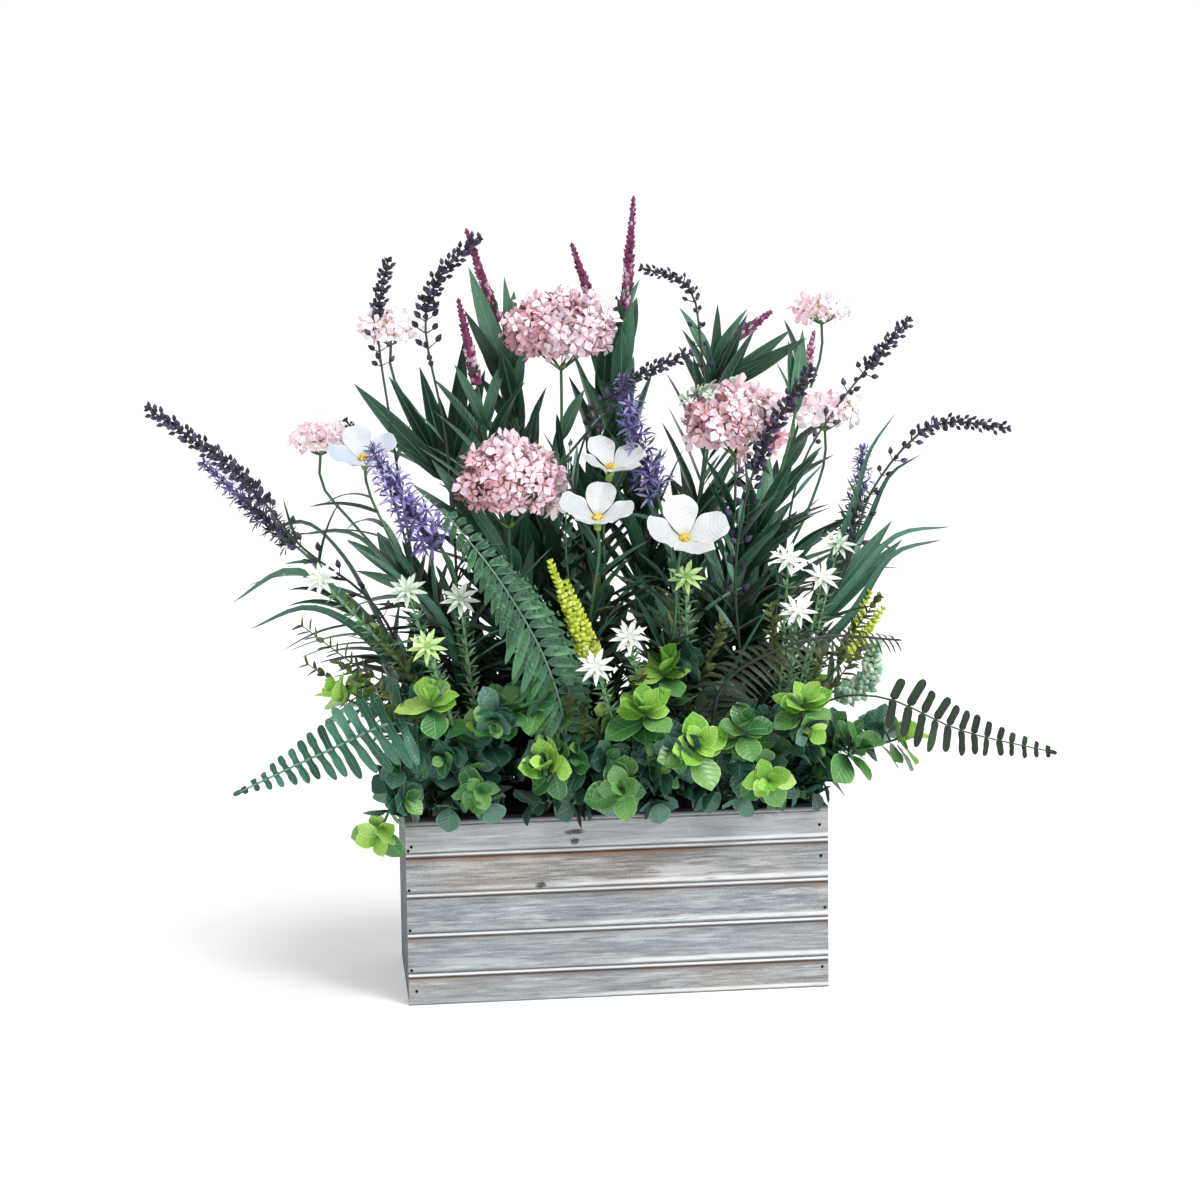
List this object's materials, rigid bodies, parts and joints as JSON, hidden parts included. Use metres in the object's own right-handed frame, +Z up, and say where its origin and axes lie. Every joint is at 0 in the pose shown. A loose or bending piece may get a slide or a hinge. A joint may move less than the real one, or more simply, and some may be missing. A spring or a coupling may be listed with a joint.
{
  "type": "floral table centerpiece",
  "caption": "Artificial flower arrangement with lavender, clustered pink heads, ferns and eucalyptus standing in a slatted whitewashed wooden planter box.",
  "frame": {"origin": "centre of the planter box's flat underside, where it rests on the table", "axes": "+Z up; +X along the box's length, the longest extent; -Y toward the front face"},
  "size_m": [0.6643, 0.3008, 0.595],
  "materials": {
    "whitewashed_pine": "weathered pine boards under a thin grey-white whitewash",
    "florist_foam": "dark green open foam",
    "pink_petals": "soft pink silk florets with pale edges",
    "magenta_bloom": "magenta moulded spikes with pale flecks",
    "violet_bloom": "blue-violet flocked florets",
    "dark_lavender": "dark aubergine buds on thin dark green stems",
    "white_petals": "white silk petals with a yellow throat",
    "star_sprays": "small white stars on green whorled stems",
    "yellow_sprigs": "yellow-green knobbly sprigs",
    "green_leaves": "dark green printed silk leaves on plastic stems",
    "fern_leaves": "dark green moulded fern fronds with a slight sheen",
    "eucalyptus_leaves": "lime to blue-green round leaves with a slight sheen"
  },
  "bodies": {
    "root": {"base_board": "whitewashed_pine", "dark_lavender_left": "dark_lavender", "dark_lavender_middle": "dark_lavender", "dark_lavender_right": "dark_lavender", "end_left": "whitewashed_pine", "end_right": "whitewashed_pine", "eucalyptus_back_left": "eucalyptus_leaves", "eucalyptus_back_right": "eucalyptus_leaves", "eucalyptus_front_left": "eucalyptus_leaves", "eucalyptus_front_middle": "eucalyptus_leaves", "eucalyptus_front_right": "eucalyptus_leaves", "fern_far_right": "fern_leaves", "fern_front": "fern_leaves", "fern_left": "fern_leaves", "fern_middle": "fern_leaves", "fern_right": "fern_leaves", "foam_block": "florist_foam", "magenta_bush_left": "green_leaves", "magenta_bush_right": "green_leaves", "magenta_spike_1": "magenta_bloom", "magenta_spike_2": "magenta_bloom", "magenta_spike_3": "magenta_bloom", "magenta_spike_4": "magenta_bloom", "magenta_spike_5": "magenta_bloom", "magenta_spike_6": "magenta_bloom", "pink_bush_left": "green_leaves", "pink_bush_right": "green_leaves", "pink_head_1": "pink_petals", "pink_head_2": "pink_petals", "pink_head_3": "pink_petals", "pink_head_4": "pink_petals", "pink_head_5": "pink_petals", "pink_head_6": "pink_petals", "pink_head_7": "pink_petals", "slat_back_1": "whitewashed_pine", "slat_back_2": "whitewashed_pine", "slat_back_3": "whitewashed_pine", "slat_back_4": "whitewashed_pine", "slat_back_5": "whitewashed_pine", "slat_front_1": "whitewashed_pine", "slat_front_2": "whitewashed_pine", "slat_front_3": "whitewashed_pine", "slat_front_4": "whitewashed_pine", "slat_front_5": "whitewashed_pine", "star_spray_left": "star_sprays", "star_spray_middle": "star_sprays", "star_spray_right": "star_sprays", "violet_bush_left": "green_leaves", "violet_bush_right": "green_leaves", "violet_spike_1": "violet_bloom", "violet_spike_2": "violet_bloom", "violet_spike_3": "violet_bloom", "violet_spike_4": "violet_bloom", "white_flower_1": "white_petals", "white_flower_2": "white_petals", "white_flower_3": "white_petals", "white_flower_4": "white_petals", "white_stems_middle": "green_leaves", "yellow_sprig_left": "yellow_sprigs", "yellow_sprig_right": "yellow_sprigs"}
  },
  "joints": []
}
